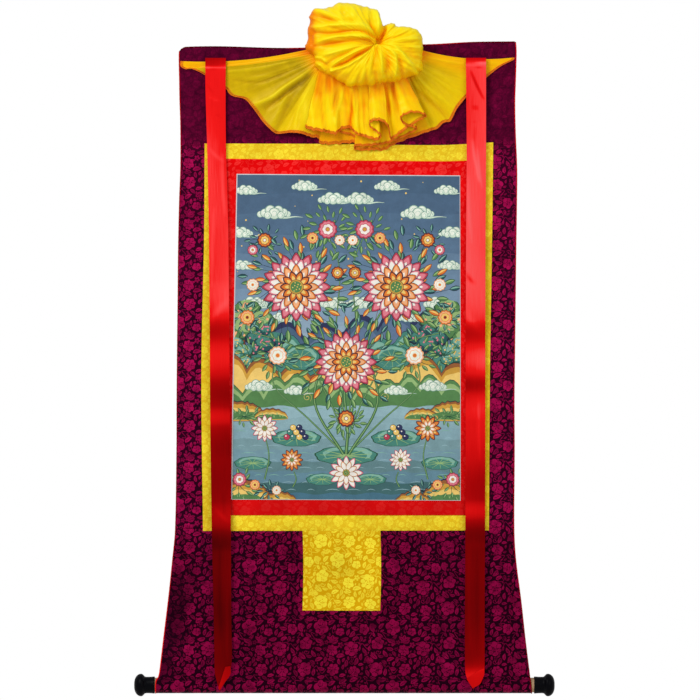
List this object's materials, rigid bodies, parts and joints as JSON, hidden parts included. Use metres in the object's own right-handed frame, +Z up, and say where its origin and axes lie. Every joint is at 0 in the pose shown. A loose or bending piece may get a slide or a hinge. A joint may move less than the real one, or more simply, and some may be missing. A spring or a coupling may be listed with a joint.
{
  "type": "thangka scroll painting",
  "caption": "Hanging scroll painting: painted canvas framed in brocade strips on a damask ground, with a gathered silk veil, hanging ribbons and a knobbed roller.",
  "frame": {"origin": "middle of the top edge of the cloth, on the plane in which the cloth hangs", "axes": "+Z up, the painted face looks along -Y, the wall is on +Y, +X is to the viewer's right"},
  "size_m": [0.772, 0.0999, 1.2733],
  "materials": {
    "ground_brocade": "dark purple silk damask with crimson flower figure",
    "yellow_brocade": "golden yellow silk damask",
    "red_brocade": "scarlet silk damask",
    "painted_canvas": "matte mineral paint on sized cotton canvas",
    "red_satin": "bright satin ribbon and piping",
    "yellow_silk": "thin glossy yellow silk",
    "hem_thread": "orange overlocked sewing thread",
    "roller_wood": "bare pale wood",
    "knob_lacquer": "satin black lacquer"
  },
  "bodies": {
    "root": {"ground_top": "ground_brocade", "ground_left": "ground_brocade", "ground_right": "ground_brocade", "ground_bottom": "ground_brocade", "piping_left": "red_satin", "piping_right": "red_satin", "piping_top": "red_satin", "yellow_top": "yellow_brocade", "yellow_bottom": "yellow_brocade", "yellow_left": "yellow_brocade", "yellow_right": "yellow_brocade", "red_top": "red_brocade", "red_bottom": "red_brocade", "red_left": "red_brocade", "red_right": "red_brocade", "painting": "painted_canvas", "door": "yellow_brocade", "ribbon_left": "red_satin", "ribbon_right": "red_satin", "veil": "yellow_silk", "roller": "roller_wood", "knob_left": "knob_lacquer", "knob_right": "knob_lacquer"}
  },
  "joints": []
}
